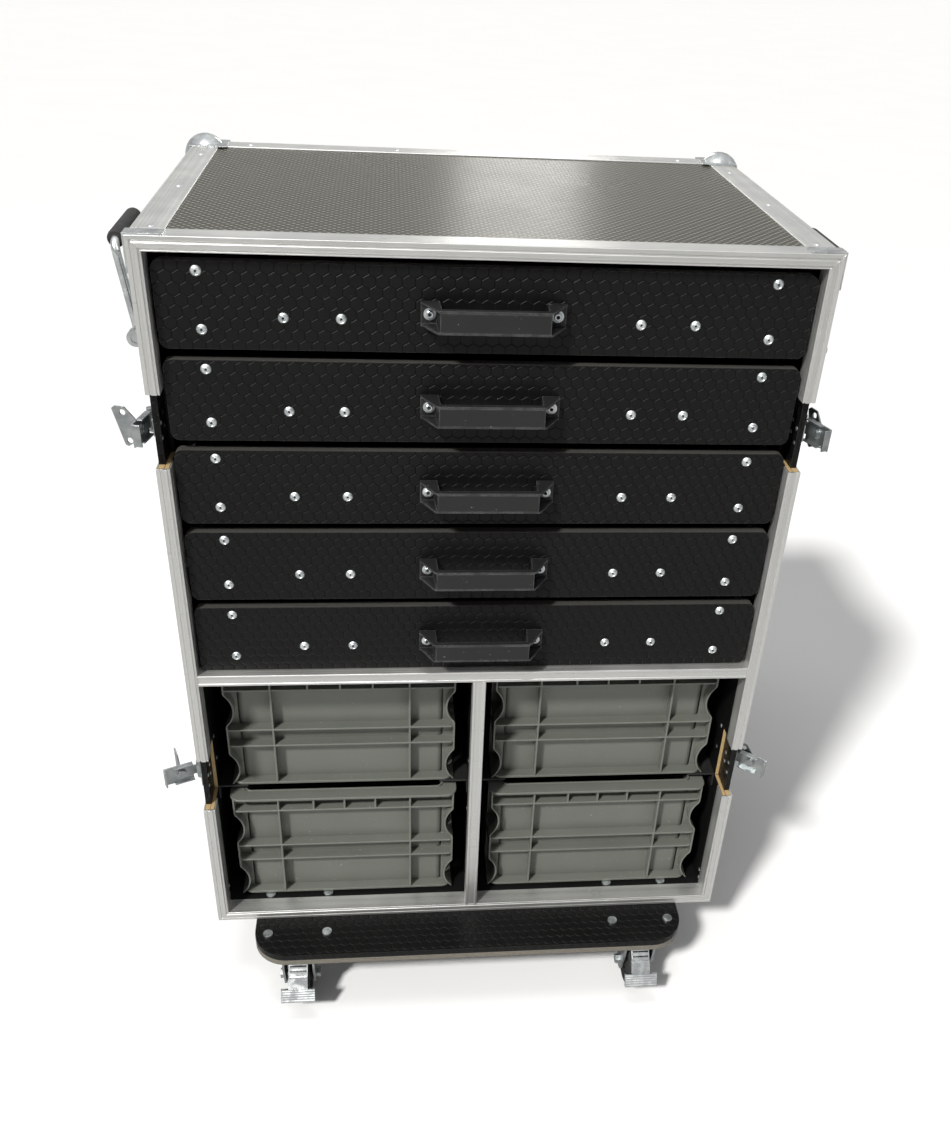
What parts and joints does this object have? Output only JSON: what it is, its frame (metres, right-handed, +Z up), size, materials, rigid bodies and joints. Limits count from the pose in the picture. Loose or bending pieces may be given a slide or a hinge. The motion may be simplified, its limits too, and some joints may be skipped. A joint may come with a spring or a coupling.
{
  "type": "flight case tool cabinet",
  "caption": "Black flight-case cabinet with aluminium edges, shallow tool drawers above stacked grey containers, butterfly latches, side handles and a braked castor board.",
  "frame": {"origin": "middle of the footprint, on the floor under the wheels", "axes": "+X to the right seen from the open front, +Y from the open front to the rear, +Z up"},
  "size_m": [0.7888, 0.636, 1.0545],
  "materials": {
    "black_board": "phenolic film with a raised hexagon pattern, satin",
    "black_lining": "smooth phenolic film, satin, raw ply edges",
    "mesh_board": "phenolic film with a fine mesh pattern, semi-gloss",
    "tray_board": "dark film faced plywood",
    "aluminium": "mill finish with extrusion lines",
    "zinc": "bright zinc plate",
    "black_steel": "black powder coat",
    "tread": "matte black",
    "pull_plastic": "fine moulded grain",
    "grey_plastic": "satin moulded polypropylene",
    "handle_rubber": "black rubber grip on a plated bail"
  },
  "bodies": {
    "case": {"left_side_panel": "black_board", "right_side_panel": "black_board", "side_linings": "black_lining", "top_panel": "mesh_board", "bottom_panel": "black_lining", "back_panel": "black_board", "shelf_board": "black_lining", "centre_board": "black_lining", "front_rim": "aluminium", "divider_trim": "aluminium", "edge_angles": "aluminium", "corner_hardware": "zinc", "latch_bases": "zinc", "handle_plates": "zinc", "drawer_runners": "zinc", "container_runners": "black_steel", "castor_board": "black_board", "board_bolts": "zinc", "castor_plates": "zinc"},
    "left_upper_latch_arm": {"left_upper_latch_arm": "zinc"},
    "left_upper_latch_wing": {"left_upper_latch_wing": "zinc"},
    "left_lower_latch_arm": {"left_lower_latch_arm": "zinc"},
    "left_lower_latch_wing": {"left_lower_latch_wing": "zinc"},
    "right_upper_latch_arm": {"right_upper_latch_arm": "zinc"},
    "right_upper_latch_wing": {"right_upper_latch_wing": "zinc"},
    "right_lower_latch_arm": {"right_lower_latch_arm": "zinc"},
    "right_lower_latch_wing": {"right_lower_latch_wing": "zinc"},
    "left_side_handle": {"left_side_handle": "handle_rubber"},
    "right_side_handle": {"right_side_handle": "handle_rubber"},
    "drawer_1": {"drawer_1_front": "black_board", "drawer_1_tray": "tray_board", "drawer_1_pull": "pull_plastic"},
    "drawer_2": {"drawer_2_front": "black_board", "drawer_2_tray": "tray_board", "drawer_2_pull": "pull_plastic"},
    "drawer_3": {"drawer_3_front": "black_board", "drawer_3_tray": "tray_board", "drawer_3_pull": "pull_plastic"},
    "drawer_4": {"drawer_4_front": "black_board", "drawer_4_tray": "tray_board", "drawer_4_pull": "pull_plastic"},
    "drawer_5": {"drawer_5_front": "black_board", "drawer_5_tray": "tray_board", "drawer_5_pull": "pull_plastic"},
    "left_upper_container": {"left_upper_container": "grey_plastic"},
    "left_lower_container": {"left_lower_container": "grey_plastic"},
    "right_upper_container": {"right_upper_container": "grey_plastic"},
    "right_lower_container": {"right_lower_container": "grey_plastic"},
    "front_left_castor_fork": {"front_left_castor_fork": "zinc"},
    "front_left_wheel": {"front_left_wheel": "tread"},
    "front_left_brake_pedal": {"front_left_brake_pedal": "zinc"},
    "front_right_castor_fork": {"front_right_castor_fork": "zinc"},
    "front_right_wheel": {"front_right_wheel": "tread"},
    "front_right_brake_pedal": {"front_right_brake_pedal": "zinc"},
    "rear_left_castor_fork": {"rear_left_castor_fork": "zinc"},
    "rear_left_wheel": {"rear_left_wheel": "tread"},
    "rear_left_brake_pedal": {"rear_left_brake_pedal": "zinc"},
    "rear_right_castor_fork": {"rear_right_castor_fork": "zinc"},
    "rear_right_wheel": {"rear_right_wheel": "tread"},
    "rear_right_brake_pedal": {"rear_right_brake_pedal": "zinc"}
  },
  "joints": [
    {"name": "left_upper_latch_hinge", "type": "hinge", "parent": "case", "child": "left_upper_latch_arm", "pos_m": [-0.3545, -0.198, 0.845], "axis": [0, 0, 1], "range_deg": [-77.5, 12.5]},
    {"name": "left_upper_latch_turn", "type": "hinge", "parent": "left_upper_latch_arm", "child": "left_upper_latch_wing", "pos_m": [-0.35969, -0.22143, 0.845], "axis": [-0.9763, 0.2164, 0], "range_deg": [0, 180]},
    {"name": "left_lower_latch_hinge", "type": "hinge", "parent": "case", "child": "left_lower_latch_arm", "pos_m": [-0.3545, -0.198, 0.364], "axis": [0, 0, 1], "range_deg": [-24, 66]},
    {"name": "left_lower_latch_turn", "type": "hinge", "parent": "left_lower_latch_arm", "child": "left_lower_latch_wing", "pos_m": [-0.37643, -0.20776, 0.364], "axis": [-0.4067, 0.9135, 0], "range_deg": [0, 180]},
    {"name": "right_upper_latch_hinge", "type": "hinge", "parent": "case", "child": "right_upper_latch_arm", "pos_m": [0.3545, -0.198, 0.845], "axis": [0, 0, 1], "range_deg": [-21, 69]},
    {"name": "right_upper_latch_turn", "type": "hinge", "parent": "right_upper_latch_arm", "child": "right_upper_latch_wing", "pos_m": [0.3631, -0.22041, 0.845], "axis": [0.9336, 0.3584, 0], "range_deg": [0, 180]},
    {"name": "right_lower_latch_hinge", "type": "hinge", "parent": "case", "child": "right_lower_latch_arm", "pos_m": [0.3545, -0.198, 0.364], "axis": [0, 0, 1], "range_deg": [-51, 39]},
    {"name": "right_lower_latch_turn", "type": "hinge", "parent": "right_lower_latch_arm", "child": "right_lower_latch_wing", "pos_m": [0.37315, -0.2131, 0.364], "axis": [0.6293, 0.7771, 0], "range_deg": [0, 180]},
    {"name": "left_handle_hinge", "type": "hinge", "parent": "case", "child": "left_side_handle", "pos_m": [-0.3635, -0.106, 0.926], "axis": [0, -1, 0], "range_deg": [0, 90], "stiffness_Nm_per_rad": 0.4, "springref_deg": -45.84},
    {"name": "right_handle_hinge", "type": "hinge", "parent": "case", "child": "right_side_handle", "pos_m": [0.3635, -0.106, 0.926], "axis": [0, 1, 0], "range_deg": [0, 90], "stiffness_Nm_per_rad": 0.4, "springref_deg": -45.84},
    {"name": "drawer_1_slide", "type": "slide", "parent": "case", "child": "drawer_1", "axis": [0, -1, 0], "range_m": [0, 0.3]},
    {"name": "drawer_2_slide", "type": "slide", "parent": "case", "child": "drawer_2", "axis": [0, -1, 0], "range_m": [0, 0.3]},
    {"name": "drawer_3_slide", "type": "slide", "parent": "case", "child": "drawer_3", "axis": [0, -1, 0], "range_m": [0, 0.3]},
    {"name": "drawer_4_slide", "type": "slide", "parent": "case", "child": "drawer_4", "axis": [0, -1, 0], "range_m": [0, 0.3]},
    {"name": "drawer_5_slide", "type": "slide", "parent": "case", "child": "drawer_5", "axis": [0, -1, 0], "range_m": [0, 0.3]},
    {"name": "left_upper_container_slide", "type": "slide", "parent": "case", "child": "left_upper_container", "axis": [0, -1, 0], "range_m": [0, 0.38]},
    {"name": "left_lower_container_slide", "type": "slide", "parent": "case", "child": "left_lower_container", "axis": [0, -1, 0], "range_m": [0, 0.38]},
    {"name": "right_upper_container_slide", "type": "slide", "parent": "case", "child": "right_upper_container", "axis": [0, -1, 0], "range_m": [0, 0.38]},
    {"name": "right_lower_container_slide", "type": "slide", "parent": "case", "child": "right_lower_container", "axis": [0, -1, 0], "range_m": [0, 0.38]},
    {"name": "front_left_castor_swivel", "type": "hinge", "parent": "case", "child": "front_left_castor_fork", "pos_m": [-0.24, -0.233, 0.088], "axis": [0, 0, 1], "continuous": true},
    {"name": "front_left_wheel_spin", "type": "hinge", "parent": "front_left_castor_fork", "child": "front_left_wheel", "pos_m": [-0.24, -0.263, 0.0375], "axis": [1, 0, 0], "continuous": true},
    {"name": "front_left_brake_press", "type": "hinge", "parent": "front_left_castor_fork", "child": "front_left_brake_pedal", "pos_m": [-0.24, -0.279, 0.08], "axis": [1, 0, 0], "range_deg": [0, 10]},
    {"name": "front_right_castor_swivel", "type": "hinge", "parent": "case", "child": "front_right_castor_fork", "pos_m": [0.24, -0.233, 0.088], "axis": [0, 0, 1], "continuous": true},
    {"name": "front_right_wheel_spin", "type": "hinge", "parent": "front_right_castor_fork", "child": "front_right_wheel", "pos_m": [0.24, -0.263, 0.0375], "axis": [1, 0, 0], "continuous": true},
    {"name": "front_right_brake_press", "type": "hinge", "parent": "front_right_castor_fork", "child": "front_right_brake_pedal", "pos_m": [0.24, -0.279, 0.08], "axis": [1, 0, 0], "range_deg": [0, 10]},
    {"name": "rear_left_castor_swivel", "type": "hinge", "parent": "case", "child": "rear_left_castor_fork", "pos_m": [-0.24, 0.233, 0.088], "axis": [0, 0, 1], "continuous": true},
    {"name": "rear_left_wheel_spin", "type": "hinge", "parent": "rear_left_castor_fork", "child": "rear_left_wheel", "pos_m": [-0.24, 0.263, 0.0375], "axis": [1, 0, 0], "continuous": true},
    {"name": "rear_left_brake_press", "type": "hinge", "parent": "rear_left_castor_fork", "child": "rear_left_brake_pedal", "pos_m": [-0.24, 0.279, 0.08], "axis": [-1, 0, 0], "range_deg": [0, 10]},
    {"name": "rear_right_castor_swivel", "type": "hinge", "parent": "case", "child": "rear_right_castor_fork", "pos_m": [0.24, 0.233, 0.088], "axis": [0, 0, 1], "continuous": true},
    {"name": "rear_right_wheel_spin", "type": "hinge", "parent": "rear_right_castor_fork", "child": "rear_right_wheel", "pos_m": [0.24, 0.263, 0.0375], "axis": [1, 0, 0], "continuous": true},
    {"name": "rear_right_brake_press", "type": "hinge", "parent": "rear_right_castor_fork", "child": "rear_right_brake_pedal", "pos_m": [0.24, 0.279, 0.08], "axis": [-1, 0, 0], "range_deg": [0, 10]}
  ]
}
